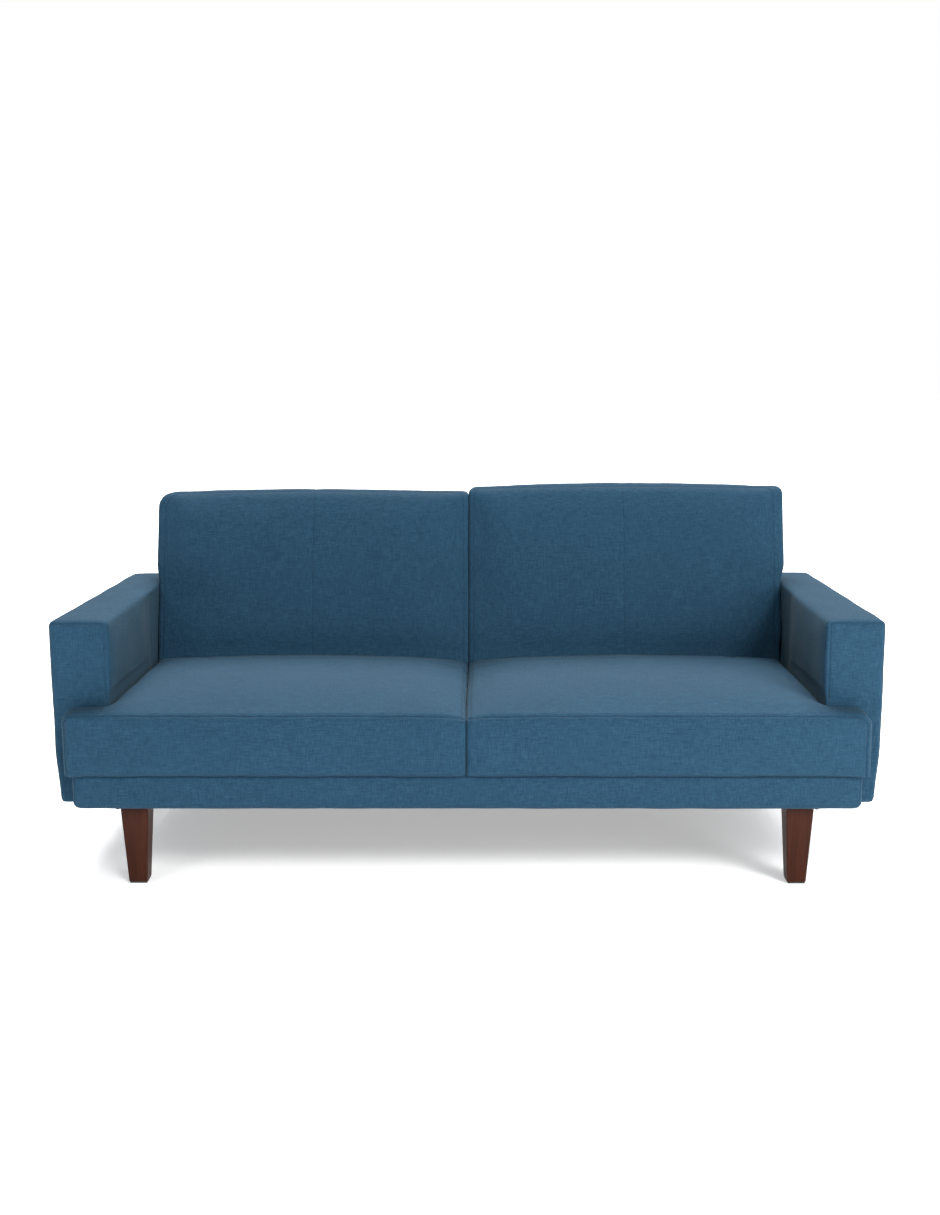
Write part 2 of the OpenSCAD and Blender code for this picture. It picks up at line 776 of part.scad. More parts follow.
front_rail();
rear_rail();
on_side(-1) side_rail();  // side_rail_left
on_side(1) side_rail();  // side_rail_right
centre_beam();
cross_rails();
corner_blocks();
rear_decks();
front_apron();
rear_apron();
dust_cover();
leg(-1, leg_front_y);  // leg_front_left
leg(1, leg_front_y);  // leg_front_right
leg(-1, leg_back_y);  // leg_rear_left
leg(1, leg_back_y);  // leg_rear_right
leg_plates();
leg_plate_screws();
leg_bolts();
leg_glides();
on_side(-1) seat_frame();  // seat_frame_left
on_side(1) seat_frame();  // seat_frame_right
on_side(-1) seat_springs();  // seat_springs_left
on_side(1) seat_springs();  // seat_springs_right
spring_clips();
seat_frame_bolts();
on_side(-1) seat_cushion();  // seat_cushion_left
on_side(1) seat_cushion();  // seat_cushion_right
on_side(-1) arm_frame();  // arm_frame_left
on_side(1) arm_frame();  // arm_frame_right
on_side(-1) arm_cover();  // arm_cover_left
on_side(1) arm_cover();  // arm_cover_right
arm_bolts();
arm_bolt_washers();
arm_insert_nuts();
hinge_base_plates();
hinge_plate_screws();
hinge_pivot_pins();
hinge_pin_clips();
hinge_pawls();
pawl_pins();
pawl_springs();
on_side(-1) back_frame();  // back_frame_left
on_side(-1) back_webbing();  // back_webbing_left
on_side(-1) back_cushion();  // back_cushion_left
on_side(-1) back_panel();  // back_panel_left
on_side(-1) hinge_arms();  // hinge_arms_left
on_side(-1) hinge_arm_bolts();  // hinge_arm_bolts_left
on_side(-1) hinge_washers();  // hinge_washers_left
on_side(1) back_frame();  // back_frame_right
on_side(1) back_webbing();  // back_webbing_right
on_side(1) back_cushion();  // back_cushion_right
on_side(1) back_panel();  // back_panel_right
on_side(1) hinge_arms();  // hinge_arms_right
on_side(1) hinge_arm_bolts();  // hinge_arm_bolts_right
on_side(1) hinge_washers();  // hinge_washers_right
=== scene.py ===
"""Split-back futon sofa bed: upholstery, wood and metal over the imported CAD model.

Every measure is in metres, in the CAD model's own frame: +X to the right, +Y to the rear,
+Z up, with the origin on the floor. Places come from the CAD nodes' boxes and the joints.
"""
import json
import math

import bmesh
import bpy
import numpy as np
from mathutils import Matrix, Vector


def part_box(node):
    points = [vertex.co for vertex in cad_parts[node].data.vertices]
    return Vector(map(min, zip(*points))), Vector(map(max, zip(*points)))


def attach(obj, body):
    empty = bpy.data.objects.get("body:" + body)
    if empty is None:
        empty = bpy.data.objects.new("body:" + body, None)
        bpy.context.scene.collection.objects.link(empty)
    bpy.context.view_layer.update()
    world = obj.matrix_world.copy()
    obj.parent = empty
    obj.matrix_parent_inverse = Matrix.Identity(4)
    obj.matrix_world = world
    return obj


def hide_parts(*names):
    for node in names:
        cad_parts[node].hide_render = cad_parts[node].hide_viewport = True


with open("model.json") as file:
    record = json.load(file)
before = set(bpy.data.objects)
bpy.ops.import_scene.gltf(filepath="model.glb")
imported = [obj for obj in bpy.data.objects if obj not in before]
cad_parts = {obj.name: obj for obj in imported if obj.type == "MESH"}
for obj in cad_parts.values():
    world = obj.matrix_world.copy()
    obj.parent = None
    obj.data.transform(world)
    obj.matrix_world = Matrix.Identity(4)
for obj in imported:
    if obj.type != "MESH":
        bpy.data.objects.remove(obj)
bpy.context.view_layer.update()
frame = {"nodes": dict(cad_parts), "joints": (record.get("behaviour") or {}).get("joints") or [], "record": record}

MM = 0.001


# ---------------------------------------------------------------- the camera

CAMERA_PLACE = (0.0386, -3.4187, 1.1681)
CAMERA_PITCH = 9.903            # degrees below the horizon
CAMERA_YAW = 0.552              # degrees to the left
CAMERA_ROLL = -0.147
CAMERA_LENS = 42.4              # mm, on a 36 mm sensor


def make_camera():
    data = bpy.data.cameras.new("camera")
    data.lens = CAMERA_LENS
    data.sensor_width = 36
    data.dof.use_dof = False
    camera = bpy.data.objects.new("camera", data)
    bpy.context.scene.collection.objects.link(camera)
    turn = (Matrix.Rotation(math.radians(CAMERA_YAW), 4, "Z")
            @ Matrix.Rotation(math.radians(90 - CAMERA_PITCH), 4, "X")
            @ Matrix.Rotation(math.radians(CAMERA_ROLL), 4, "Z"))
    camera.matrix_world = Matrix.Translation(CAMERA_PLACE) @ turn
    bpy.context.scene.camera = camera


# ---------------------------------------------------------------- mesh helpers

def new_object(name, verts, faces):
    mesh = bpy.data.meshes.new(name)
    mesh.from_pydata([tuple(v) for v in verts], [], faces)
    work = bmesh.new()
    work.from_mesh(mesh)
    bmesh.ops.recalc_face_normals(work, faces=work.faces)
    work.to_mesh(mesh)
    work.free()
    obj = bpy.data.objects.new(name, mesh)
    bpy.context.scene.collection.objects.link(obj)
    return obj


def prism(name, outline, axis, low, high):
    """A closed solid: an outline of points in the other two axes, swept along one axis."""
    across = [i for i in range(3) if i != axis]
    verts = np.zeros((2 * len(outline), 3))
    verts[:, across] = list(outline) * 2
    verts[:len(outline), axis] = low
    verts[len(outline):, axis] = high
    n = len(outline)
    faces = [tuple(range(n)), tuple(range(n, 2 * n))]
    faces += [(i, (i + 1) % n, n + (i + 1) % n, n + i) for i in range(n)]
    return new_object(name, verts, faces)


def arc(centre, radius, start, end, steps=8):
    """Points on an arc, its angles in degrees."""
    angles = np.radians(np.linspace(start, end, steps + 1))
    return [(centre[0] + radius * math.cos(a), centre[1] + radius * math.sin(a)) for a in angles]


def rounded_outline(low, high, radii):
    """A rectangle with rounded corners; the radii go round from the bottom left."""
    (x0, z0), (x1, z1) = low, high
    a, b, c, d = radii
    return (arc((x0 + a, z0 + a), a, 180, 270) + arc((x1 - b, z0 + b), b, 270, 360)
            + arc((x1 - c, z1 - c), c, 0, 90) + arc((x0 + d, z1 - d), d, 90, 180))


def apply_modifiers(obj):
    graph = bpy.context.evaluated_depsgraph_get()
    mesh = bpy.data.meshes.new_from_object(obj.evaluated_get(graph))
    obj.modifiers.clear()
    obj.data = mesh


def combine(obj, other, operation):
    """Joins, cuts or intersects a solid with another, which is used up."""
    modifier = obj.modifiers.new("combine", "BOOLEAN")
    modifier.object = other
    modifier.operation = operation
    modifier.solver = "EXACT"
    apply_modifiers(obj)
    bpy.data.objects.remove(other)


def remesh(obj, size):
    modifier = obj.modifiers.new("remesh", "REMESH")
    modifier.mode = "VOXEL"
    modifier.voxel_size = size
    apply_modifiers(obj)


def subdivide(obj, levels=1):
    modifier = obj.modifiers.new("subdivide", "SUBSURF")
    modifier.levels = levels
    modifier.render_levels = levels
    apply_modifiers(obj)


def smooth_shading(obj):
    obj.data.polygons.foreach_set("use_smooth", [True] * len(obj.data.polygons))


def points(obj):
    co = np.empty(len(obj.data.vertices) * 3)
    obj.data.vertices.foreach_get("co", co)
    return co.reshape(-1, 3)


def set_points(obj, co):
    obj.data.vertices.foreach_set("co", co.ravel())
    obj.data.update()


def normals(obj):
    found = np.empty(len(obj.data.vertices) * 3)
    obj.data.vertex_normals.foreach_get("vector", found)
    return found.reshape(-1, 3)


def even_out(obj, field, times, amount=0.5):
    """Moves each point's vector towards the mean of its neighbours' vectors."""
    edges = np.empty(len(obj.data.edges) * 2, dtype=np.int32)
    obj.data.edges.foreach_get("vertices", edges)
    a, b = edges.reshape(-1, 2).T
    field = field.copy()
    size = len(field)
    count = np.bincount(a, minlength=size) + np.bincount(b, minlength=size)
    for _ in range(times):
        for k in range(3):
            total = np.bincount(a, field[b, k], size) + np.bincount(b, field[a, k], size)
            field[:, k] += amount * (total / count - field[:, k])
    return field


def relax(obj, times):
    set_points(obj, even_out(obj, points(obj), times))


def step(value, start, end):
    """0 before start, 1 after end, and smooth between them."""
    t = np.clip((value - start) / (end - start), 0, 1)
    return t * t * (3 - 2 * t)


def ripple(co, size, seed):
    """Smooth, seeded unevenness from -1 to 1, with features of about this size."""
    random = np.random.default_rng(seed)
    total = np.zeros(len(co))
    waves = 14
    for _ in range(waves):
        direction = random.normal(size=3)
        direction /= np.linalg.norm(direction)
        length = size * random.uniform(0.7, 1.6)
        total += np.sin(co @ direction * 2 * math.pi / length + random.uniform(0, 2 * math.pi))
    return total / math.sqrt(waves)


def distance_to_path(flat, path):
    """Each 2-D point's distance from a polyline, and the length along it of the nearest spot."""
    path = np.asarray(path, float)
    best = np.full(len(flat), 1e9)
    along = np.zeros(len(flat))
    walked = 0.0
    for start, end in zip(path[:-1], path[1:]):
        run = end - start
        length = np.linalg.norm(run)
        t = np.clip((flat - start) @ run / length ** 2, 0, 1)
        gap = np.linalg.norm(flat - start - t[:, None] * run, axis=1)
        nearer = gap < best
        best[nearer] = gap[nearer]
        along[nearer] = walked + t[nearer] * length
        walked += length
    return best, along


# ---------------------------------------------------------------- soft goods

VOXEL = 7 * MM                  # mesh size of the seats and the backs
FINE_VOXEL = 6 * MM             # and of the arms
SIM_FRAMES = 20
PRESSURE = 4.0
TAUT_PASSES = 40                # how far the tight upholstery smooths its wrinkles out
WRINKLES = 0.12                 # share of them that stays
# name of the point attribute that marks the painted shade along the seams
SEAM_SHADE_ATTRIBUTE = "seam"


def swell(obj, cap):
    """Blows the cover up with a cloth simulation. cap is how far each point may move."""
    rest = points(obj)
    held = obj.vertex_groups.new(name="held")
    for weight in (1.0, 0.5):
        low, high = (-1, 0.1 * MM) if weight == 1.0 else (0.1 * MM, 3 * MM)
        chosen = np.flatnonzero((cap > low) & (cap <= high))
        if len(chosen):
            held.add(chosen.tolist(), weight, "REPLACE")
    modifier = obj.modifiers.new("cloth", "CLOTH")
    cloth = modifier.settings
    cloth.quality = 4
    cloth.mass = 0.3
    cloth.tension_stiffness = 15
    cloth.compression_stiffness = 15
    cloth.shear_stiffness = 5
    cloth.bending_stiffness = 1.5
    cloth.use_pressure = True
    cloth.uniform_pressure_force = PRESSURE
    cloth.effector_weights.gravity = 0
    cloth.vertex_group_mass = "held"
    modifier.collision_settings.use_collision = False
    modifier.point_cache.frame_start = 1
    modifier.point_cache.frame_end = SIM_FRAMES
    scene = bpy.context.scene
    for number in range(1, SIM_FRAMES + 1):
        scene.frame_set(number)
    apply_modifiers(obj)
    scene.frame_set(1)
    obj.vertex_groups.clear()
    move = points(obj) - rest
    size = np.linalg.norm(move, axis=1)
    limit = np.maximum(cap, 1e-6)
    move *= (np.tanh(size / limit) * limit / np.maximum(size, 1e-9))[:, None]
    taut = even_out(obj, move, TAUT_PASSES)
    set_points(obj, rest + WRINKLES * move + (1 - WRINKLES) * taut)


def keep_wide(obj, rest, low, high):
    """Stops the sides of a swollen cover from drawing in."""
    co = points(obj)
    for side, keep in ((rest[:, 0] < low, np.minimum), (rest[:, 0] > high, np.maximum)):
        co[side, 0] = keep(co[side, 0], rest[side, 0])
    set_points(obj, co)


def refine(obj, near):
    """Halves the edges between points that are marked, so that a fine line can be drawn there."""
    work = bmesh.new()
    work.from_mesh(obj.data)
    work.verts.ensure_lookup_table()
    edges = [e for e in work.edges if near[e.verts[0].index] and near[e.verts[1].index]]
    bmesh.ops.subdivide_edges(work, edges=edges, cuts=1, use_grid_fill=True)
    work.to_mesh(obj.data)
    work.free()


class Seam:
    """A sewn line on a cover, drawn as a path in the plane of two axes, on one face of it."""

    def __init__(self, axes, path, facing, depth=1.6 * MM, width=2.2 * MM, pull=1.0 * MM,
                 reach=14 * MM, within=None):
        self.axes = list(axes)
        self.path = path
        self.facing = np.array(facing, float)
        self.depth = depth
        self.width = width
        self.pull = pull
        self.reach = reach
        self.within = within

    def measure(self, obj):
        co = points(obj)
        gap, along = distance_to_path(co[:, self.axes], self.path)
        on_face = normals(obj) @ self.facing > 0.25
        if self.within is not None:
            on_face &= self.within(co)
        return np.where(on_face, gap, 1e3), along


def sew(obj, seams, seed):
    """Draws seams into a cover: a fine valley, a wider pull of the cloth and small puckers. It also stores a mark
    along each seam, where the cloth material paints shade.
    """
    near = np.zeros(len(obj.data.vertices), bool)
    for seam in seams:
        near |= seam.measure(obj)[0] < 3.2 * seam.width
    refine(obj, near)
    seam_shade_marks = np.zeros(len(obj.data.vertices))
    for index, seam in enumerate(seams):
        gap, along = seam.measure(obj)
        pucker = 1 + 0.5 * ripple(np.column_stack([along, along * 0, along * 0]), 35 * MM,
                                  seed + index)
        valley = seam.depth * np.exp(-(gap / seam.width) ** 2)
        pulled = seam.pull * pucker * np.exp(-(gap / seam.reach) ** 2)
        set_points(obj, points(obj) - normals(obj) * (valley + pulled)[:, None])
        # painted shade: this mark says where the cloth material draws the seam line darker
        seam_shade_marks = np.maximum(seam_shade_marks, np.exp(-(gap / (0.8 * seam.width)) ** 2))
    attribute = obj.data.attributes.new(SEAM_SHADE_ATTRIBUTE, "FLOAT", "POINT")
    attribute.data.foreach_set("value", seam_shade_marks.astype(np.float32))


def confine(obj, lowest, highest):
    """Flattens a cover where it rests against its neighbours."""
    co = points(obj)
    for axis in range(3):
        if lowest[axis] is not None:
            co[:, axis] = np.maximum(co[:, axis], lowest[axis])
        if highest[axis] is not None:
            co[:, axis] = np.minimum(co[:, axis], highest[axis])
    set_points(obj, co)


def mirror(obj, side):
    """Makes a part that was built at +X into the left-hand one."""
    if side > 0:
        return
    co = points(obj)
    co[:, 0] *= -1
    set_points(obj, co)
    obj.data.flip_normals()


# ---------------------------------------------------------------- shader helpers

class Shader:
    """A small builder of node materials around one Principled shader."""

    def __init__(self, name):
        self.material = bpy.data.materials.new(name)
        self.material.use_nodes = True
        self.tree = self.material.node_tree
        self.tree.nodes.clear()
        self.out = self.tree.nodes.new("ShaderNodeOutputMaterial")
        self.principled = self.tree.nodes.new("ShaderNodeBsdfPrincipled")
        self.tree.links.new(self.principled.outputs[0], self.out.inputs[0])
        self.place = self.tree.nodes.new("ShaderNodeTexCoord").outputs["Object"]

    def put(self, value, socket):
        if isinstance(value, bpy.types.NodeSocket):
            self.tree.links.new(value, socket)
        elif value is not None:
            socket.default_value = value

    def set(self, **values):
        for name, value in values.items():
            self.put(value, self.principled.inputs[name.replace("_", " ").capitalize()
                                                   if name not in SOCKETS else SOCKETS[name]])

    def math(self, operation, a, b=None, c=None):
        node = self.tree.nodes.new("ShaderNodeMath")
        node.operation = operation
        for value, socket in zip((a, b, c), node.inputs):
            self.put(value, socket)
        return node.outputs[0]

    def stretch(self, scale, place=None):
        node = self.tree.nodes.new("ShaderNodeMapping")
        self.put(place or self.place, node.inputs["Vector"])
        node.inputs["Scale"].default_value = scale
        return node.outputs[0]

    def noise(self, scale, detail=2.0, place=None, roughness=0.5, distortion=0.0):
        """Noise with its own scale along each axis, in features per metre."""
        node = self.tree.nodes.new("ShaderNodeTexNoise")
        self.put(self.stretch(scale, place), node.inputs["Vector"])
        node.inputs["Scale"].default_value = 1.0
        node.inputs["Detail"].default_value = detail
        node.inputs["Roughness"].default_value = roughness
        node.inputs["Distortion"].default_value = distortion
        return node.outputs[0]

    def ramp(self, value, stops):
        node = self.tree.nodes.new("ShaderNodeValToRGB")
        self.put(value, node.inputs[0])
        elements = node.color_ramp.elements
        while len(elements) < len(stops):
            elements.new(0.5)
        for element, (position, colour) in zip(elements, stops):
            element.position = position
            element.color = (*colour, 1)
        return node.outputs[0]

    def blend(self, factor, a, b, kind="MIX"):
        node = self.tree.nodes.new("ShaderNodeMix")
        node.data_type = "RGBA"
        node.blend_type = kind
        self.put(factor, node.inputs[0])
        self.put((*a, 1) if isinstance(a, tuple) else a, node.inputs[6])
        self.put((*b, 1) if isinstance(b, tuple) else b, node.inputs[7])
        return node.outputs[2]

    def tinted(self, color, value, low, high):
        """A colour made darker or lighter, by a factor from low to high that follows a value."""
        factor = self.blend(1.0, (1.0, 1.0, 1.0), self.spread(value, low, high), "MULTIPLY")
        return self.blend(1.0, color, factor, "MULTIPLY")

    def spread(self, value, low, high):
        node = self.tree.nodes.new("ShaderNodeMapRange")
        self.put(value, node.inputs["Value"])
        node.inputs["To Min"].default_value = low
        node.inputs["To Max"].default_value = high
        return node.outputs[0]

    def bump(self, height, distance, strength=1.0, under=None):
        node = self.tree.nodes.new("ShaderNodeBump")
        node.inputs["Distance"].default_value = distance
        node.inputs["Strength"].default_value = strength
        self.put(height, node.inputs["Height"])
        self.put(under, node.inputs["Normal"])
        return node.outputs[0]


SOCKETS = {
    "color": "Base Color", "ior": "IOR", "sheen": "Sheen Weight",
    "sheen_roughness": "Sheen Roughness", "sheen_tint": "Sheen Tint",
    "coat": "Coat Weight", "coat_roughness": "Coat Roughness",
    "specular": "Specular IOR Level",
    "glow": "Emission Color", "glow_strength": "Emission Strength",
}


def plain_weave(shader, pitch):
    """Height of a plain weave of this yarn pitch, on faces of any direction."""
    split = shader.tree.nodes.new("ShaderNodeSeparateXYZ")
    shader.put(shader.place, split.inputs[0])
    waves = [shader.math("SINE", shader.math("MULTIPLY", axis, math.pi / pitch))
             for axis in split.outputs]
    normal = shader.tree.nodes.new("ShaderNodeSeparateXYZ")
    coords = shader.tree.nodes.new("ShaderNodeTexCoord")
    shader.put(coords.outputs["Normal"], normal.inputs[0])
    total = 0.5
    for axis in range(3):
        a, b = (waves[i] for i in range(3) if i != axis)
        share = shader.math("MULTIPLY", normal.outputs[axis], normal.outputs[axis])
        woven = shader.math("MULTIPLY", a, b)
        total = shader.math("MULTIPLY_ADD", shader.math("MULTIPLY", woven, share), 0.5, total)
    return total


def yarns(shader, across, along):
    """Uneven yarn thickness and tone: noise drawn out along each axis in turn."""
    total = 0.0
    for axis in range(3):
        scale = [across] * 3
        scale[axis] = along
        total = shader.math("ADD", total, shader.noise(scale, detail=1.5))
    return shader.math("MULTIPLY", total, 1 / 3)


def woven_fabric(name, dark, middle, light, pitch=1.5 * MM, sheen=0.04):
    shader = Shader(name)
    weave = plain_weave(shader, pitch)
    streaks = yarns(shader, 520, 45)
    heather = shader.math("MULTIPLY_ADD", shader.math("SUBTRACT", weave, 0.5), 0.10, streaks)
    color = shader.ramp(heather, [(0.36, dark), (0.50, middle), (0.64, light)])
    color = shader.tinted(color, shader.noise([5, 5, 5], detail=3), 0.93, 1.07)
    # Painted shade: the cloth is drawn darker along each seam, standing in for the shade that falls in its valley.
    seam = shader.tree.nodes.new("ShaderNodeAttribute")
    seam.attribute_name = SEAM_SHADE_ATTRIBUTE
    seam_shade_colour = shader.blend(0.30, color, tuple(c * 0.45 for c in dark))
    color = shader.blend(seam.outputs["Fac"], color, seam_shade_colour)
    fuzz = shader.noise([900, 900, 900], detail=2)
    height = shader.math("MULTIPLY_ADD", streaks, 0.8, shader.math("MULTIPLY", weave, 0.9))
    height = shader.math("MULTIPLY_ADD", fuzz, 0.25, height)
    shader.set(color=color, roughness=shader.spread(streaks, 0.72, 0.98),
               normal=shader.bump(height, 0.35 * MM, 0.7), sheen=sheen, sheen_roughness=0.45,
               sheen_tint=(0.9, 1.0, 0.8, 1), specular=0.16)
    return shader.material


def nonwoven_cloth(name, dark, light):
    """Thin black spun-bonded cloth, pressed in a grid of small dots."""
    shader = Shader(name)
    fibres = shader.noise([420, 420, 420], detail=4, distortion=0.6)
    dots = plain_weave(shader, 2.5 * MM)
    color = shader.blend(shader.spread(fibres, 0, 1), dark, light)
    height = shader.math("MULTIPLY_ADD", fibres, 0.6, dots)
    shader.set(color=color, roughness=shader.spread(fibres, 0.7, 0.95),
               normal=shader.bump(height, 0.25 * MM, 0.6), sheen=0.15)
    return shader.material


def wood(name, dark, middle, light, along, roughness, specular=0.4):
    """Straight-grained wood; along is the axis its grain follows."""
    shader = Shader(name)
    fine = [260.0] * 3
    fine[along] = 7.0
    broad = [38.0] * 3
    broad[along] = 1.6
    pores = shader.noise(fine, detail=4, roughness=0.65)
    bands = shader.noise(broad, detail=2, distortion=1.2)
    tone = shader.math("ADD", shader.math("MULTIPLY", pores, 0.45),
                       shader.math("MULTIPLY", bands, 0.55))
    color = shader.ramp(tone, [(0.36, dark), (0.5, middle), (0.66, light)])
    shader.set(color=color, roughness=shader.spread(pores, roughness - 0.08, roughness + 0.12),
               normal=shader.bump(tone, 0.3 * MM, 0.35), specular=specular)
    return shader.material


def steel(name, color, roughness, scratches=60.0):
    shader = Shader(name)
    brushed = shader.noise([scratches, 900, 900], detail=3)
    stains = shader.noise([35, 35, 35], detail=3)
    shader.set(color=shader.tinted(color, stains, 0.8, 1.1), metallic=1.0,
               roughness=shader.spread(brushed, roughness - 0.07, roughness + 0.13),
               normal=shader.bump(brushed, 0.04 * MM, 0.4))
    return shader.material


def moulded(name, dark, light, roughness):
    """Paint or plastic with a fine even grain and a little dust."""
    shader = Shader(name)
    grain = shader.noise([1400, 1400, 1400], detail=1)
    dust = shader.noise([60, 60, 60], detail=4)
    shader.set(color=shader.blend(shader.spread(dust, 0, 1), dark, light),
               roughness=shader.spread(dust, roughness - 0.1, roughness + 0.1),
               normal=shader.bump(grain, 0.08 * MM, 0.5))
    return shader.material


def webbing_cloth(name):
    """Elastic strap with lengthwise ribs and a pale stripe of rubber threads."""
    shader = Shader(name)
    weave = plain_weave(shader, 2.2 * MM)
    threads = yarns(shader, 700, 60)
    color = shader.ramp(threads, [(0.4, (0.006, 0.006, 0.007)), (0.6, (0.02, 0.02, 0.022))])
    shader.set(color=color, roughness=shader.spread(threads, 0.7, 0.95),
               normal=shader.bump(weave, 0.4 * MM, 0.8), sheen=0.1)
    return shader.material


def make_materials():
    blue = ((0.0058, 0.0295, 0.0595), (0.0110, 0.0437, 0.0800), (0.0198, 0.0618, 0.1035))
    return {
        "upholstery": woven_fabric("upholstery_fabric", *blue),
        "back_lining": woven_fabric("lining_fabric", *blue, sheen=0.08),
        "dust_cloth": nonwoven_cloth("dust_cloth_black", (0.004, 0.004, 0.005),
                                     (0.016, 0.016, 0.018)),
        "webbing": webbing_cloth("webbing_black"),
        "leg_wood": wood("leg_walnut_stain", (0.026, 0.0058, 0.0022), (0.034, 0.0080, 0.0031),
                         (0.044, 0.0112, 0.0046), 2, 0.45, specular=0.12),
        "frame_wood": wood("frame_pine", (0.42, 0.25, 0.12), (0.56, 0.37, 0.19),
                           (0.66, 0.47, 0.27), 0, 0.7),
        "glide_plastic": moulded("glide_black", (0.012, 0.012, 0.012), (0.03, 0.03, 0.03), 0.5),
        "hinge_black": moulded("hinge_paint", (0.010, 0.010, 0.011), (0.022, 0.022, 0.024), 0.4),
        "spring_steel": steel("spring_wire", (0.30, 0.30, 0.31), 0.42),
        "zinc_steel": steel("zinc_plate", (0.60, 0.60, 0.62), 0.33),
    }


MATERIALS = make_materials()
NODE_SLOT = {part["node"]: part["material_slot"] for part in frame["record"]["subparts"]}


def dress_cad_nodes():
    """Gives every CAD node that stays the material of its slot."""
    for name, obj in frame["nodes"].items():
        obj.data.materials.clear()
        obj.data.materials.append(MATERIALS[NODE_SLOT[name]])


def word(side):
    return "right" if side > 0 else "left"


def finish_piece(obj, slot, body, *nodes):
    """Material, body and the CAD nodes that a piece stands for."""
    obj.data.materials.clear()
    obj.data.materials.append(MATERIALS[slot])
    smooth_shading(obj)
    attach(obj, body)
    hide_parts(*nodes)
    return obj


# ---------------------------------------------------------------- measures from the frame

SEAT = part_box("seat_cushion_right")
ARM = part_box("arm_cover_right")
ARM_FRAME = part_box("arm_frame_right")
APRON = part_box("front_apron")
REAR_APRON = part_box("rear_apron")
JOINT = {j["name"]: j for j in frame["joints"]}
PIVOT = Vector(JOINT["right_back_recline"]["pos_m"])


def panel_lean():
    """How far the backs lean at rest, from the slope of the flat panel behind them."""
    mesh = frame["nodes"]["back_panel_right"].data
    face = max((p for p in mesh.polygons if p.normal.y > 0.5), key=lambda p: p.area)
    return math.atan2(-face.normal.z, face.normal.y)


LEAN = panel_lean()
LEAN_TURN = Matrix.Translation((0, PIVOT.y, PIVOT.z)) @ Matrix.Rotation(-LEAN, 4, "X")


def moved(co, matrix):
    matrix = np.array(matrix)
    return co @ matrix[:3, :3].T + matrix[:3, 3]


def in_back_frame(node):
    """A CAD node's box in a back's own frame: y is depth behind the pivot, z is up the back."""
    co = moved(points(frame["nodes"][node]), LEAN_TURN.inverted())
    return Vector(co.min(0)), Vector(co.max(0))


BACK_LOCAL = in_back_frame("back_cushion_right")
PANEL_LOCAL = in_back_frame("back_panel_right")
HALF_BACK = BACK_LOCAL[1].y


# ---------------------------------------------------------------- seats

SEAM_Z = SEAT[1].z - 23 * MM    # height of the seam along the seat front
RAIL_RISE = 5 * MM              # how much higher the front rail ends than in the CAD model
CROWN = 22 * MM                 # how much higher the middle of a seat half is than that seam
ARM_FRONT = ARM[0].y
ARM_IN = ARM[0].x
WING_BACK = ARM_FRONT - 1.5 * MM
SEAT_CLEAR = 1.5 * MM           # gap between the seats and the backs
SPARE = 4 * MM                  # what a cover has over, to be pressed flat by what it rests on
TOUCH = 0.05 * MM               # gap between two covers that press on each other


def seat_side_outline():
    """Depth and height of a seat half: upright front, level top, and a rear along the back."""
    radius = HALF_BACK + SEAT_CLEAR
    cos, sin = math.cos(LEAN), math.sin(LEAN)
    rise = (SEAM_Z - PIVOT.z - radius * sin) / cos
    front, bottom = SEAT[0].y, SEAT[0].z - SPARE
    return ([(front, bottom), (front, SEAM_Z),
             (PIVOT.y - radius * cos + rise * sin + 3 * SPARE, SEAM_Z)]
            + arc((PIVOT.y, PIVOT.z), radius, 180 - math.degrees(LEAN), 180, 4)
            + [(PIVOT.y - radius, bottom)])


def seat_crown(co):
    """How much higher than the front seam the top lies."""
    split = co[:, 0] - SEAT[0].x
    front = co[:, 1] - SEAT[0].y
    beside_arm = step(co[:, 1], ARM_FRONT - 15 * MM, ARM_FRONT + 25 * MM)
    outer = (SEAT[1].x - co[:, 0]) * (1 - beside_arm) + (ARM_IN - co[:, 0]) * beside_arm

    def side_rise(gap, crisp):
        edge = np.sqrt(1 - (1 - np.clip(gap / (20 * MM), 0, 1)) ** 2)
        bow = 1 - (1 - np.clip(gap / 0.4, 0, 1)) ** 2
        return crisp * edge + (1 - crisp) * bow

    under_back = step(co[:, 1], PIVOT.y - 0.13, PIVOT.y - 0.07)
    front_rise = 1 - (1 - np.clip(front / 0.22, 0, 1)) ** 2
    droop = 7 * MM * np.exp(-split / 0.05) * np.exp(-front / 0.09)
    crown = CROWN * side_rise(split, 0.35) * side_rise(outer, 0.55) * front_rise
    return np.maximum(crown, 3 * MM * under_back) - droop


def seat_half(name, side, end_radius, seed):
    body = prism(name, seat_side_outline(), 0, -SPARE / 4, ARM_IN + SPARE / 2)
    wing = prism("wing", rounded_outline((ARM_IN - 30 * MM, SEAT[0].z - SPARE),
                                         (SEAT[1].x, SEAM_Z),
                                         (1 * MM, 6 * MM, end_radius, 1 * MM)),
                 1, SEAT[0].y, WING_BACK)
    combine(body, wing, "UNION")
    remesh(body, VOXEL)
    relax(body, 3)
    co = points(body)
    top = step(co[:, 2], SEAM_Z - 40 * MM, SEAM_Z - 4 * MM)
    co[:, 2] += seat_crown(co) * top
    over_rail = 1 - step(co[:, 1], SEAT[0].y + 60 * MM, SEAT[0].y + 150 * MM)
    over_rail *= 1 - step(co[:, 0], APRON[1].x - 30 * MM, APRON[1].x - 8 * MM)
    co[:, 2] += RAIL_RISE * over_rail * (1 - step(co[:, 2], SEAT[0].z, SEAT[0].z + 60 * MM))
    set_points(body, co)
    cap = seat_caps(co, normals(body))
    swell(body, cap)
    subdivide(body)
    co = points(body)
    co += normals(body) * (0.5 * MM * ripple(co, 0.11, seed))[:, None]
    set_points(body, co)
    sew(body, seat_seams(end_radius), seed)
    rest_seat(body)
    mirror(body, side)
    finish_piece(body, "upholstery", "base", f"seat_cushion_{word(side)}")
    return body


